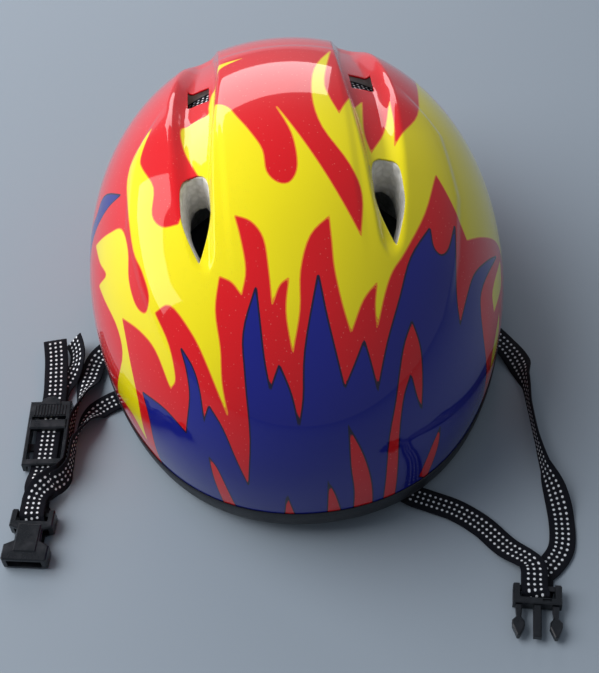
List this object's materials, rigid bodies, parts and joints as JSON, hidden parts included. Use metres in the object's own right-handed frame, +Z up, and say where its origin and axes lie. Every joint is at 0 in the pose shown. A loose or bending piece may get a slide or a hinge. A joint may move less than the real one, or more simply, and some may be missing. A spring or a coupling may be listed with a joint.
{
  "type": "cycling helmet",
  "caption": "Child's cycling helmet with a glossy flame-pattern shell, foam liner with vents, edge trim, comfort pads and webbing straps that end in a side-release buckle.",
  "frame": {"origin": "middle of the helmet's footprint on the table, at the height of its lowest rim feet, straps left out", "axes": "+Y towards the back of the head, so the brow faces -Y; +X is the wearer's left; +Z up"},
  "size_m": [0.2691, 0.3297, 0.142],
  "materials": {
    "shell": "gloss",
    "foam": "matte",
    "trim": "matte",
    "pad": "matte",
    "hook": "matte",
    "webbing": "matte",
    "buckle": "satin"
  },
  "bodies": {
    "helmet": {"outer_shell": "shell", "foam_liner": "foam", "edge_trim": "trim", "brow_pad": "pad", "rear_pad": "pad", "left_side_pad": "pad", "right_side_pad": "pad", "crown_pad": "pad", "brow_pad_hook_patch": "hook", "rear_pad_hook_patch": "hook", "left_side_pad_hook_patch": "hook", "right_side_pad_hook_patch": "hook", "crown_pad_hook_patch": "hook", "rear_strap_bridge": "webbing", "front_strap_bridge": "webbing", "plug_strap_loop": "webbing", "plug_strap_rear": "webbing", "plug_strap_front": "webbing", "socket_strap_loop": "webbing", "socket_strap_rear": "webbing", "socket_strap_front": "webbing", "tail_upper": "webbing", "tail_lower": "webbing"},
    "plug": {"plug_body": "buckle"},
    "left_arm": {"plug_arm_left": "buckle"},
    "right_arm": {"plug_arm_right": "buckle"},
    "socket": {"socket_body": "buckle"},
    "slider": {"slider_frame": "buckle"}
  },
  "joints": [
    {"name": "plug_tilt", "type": "hinge", "parent": "helmet", "child": "plug", "pos_m": [0.09224, -0.17137, 0.0033], "axis": [-0.9823, 0.1874, 0], "range_deg": [0, 100]},
    {"name": "left_arm_flex", "type": "hinge", "parent": "plug", "child": "left_arm", "pos_m": [0.09847, -0.18193, 0.0034], "axis": [0, 0, -1], "range_deg": [0, 8], "stiffness_Nm_per_rad": 0.01},
    {"name": "right_arm_flex", "type": "hinge", "parent": "plug", "child": "right_arm", "pos_m": [0.08256, -0.17889, 0.0034], "axis": [0, 0, 1], "range_deg": [0, 8], "stiffness_Nm_per_rad": 0.01},
    {"name": "socket_tilt", "type": "hinge", "parent": "helmet", "child": "socket", "pos_m": [-0.13427, -0.10768, 0.004], "axis": [-0.9877, 0.1564, 0], "range_deg": [0, 100]},
    {"name": "slider_slide", "type": "slide", "parent": "helmet", "child": "slider", "axis": [0.0872, 0.9962, 0], "range_m": [-0.002, 0.008]}
  ],
  "couplings": [
    {"joint": "right_arm_flex", "follows": "left_arm_flex", "ratio": 1}
  ]
}
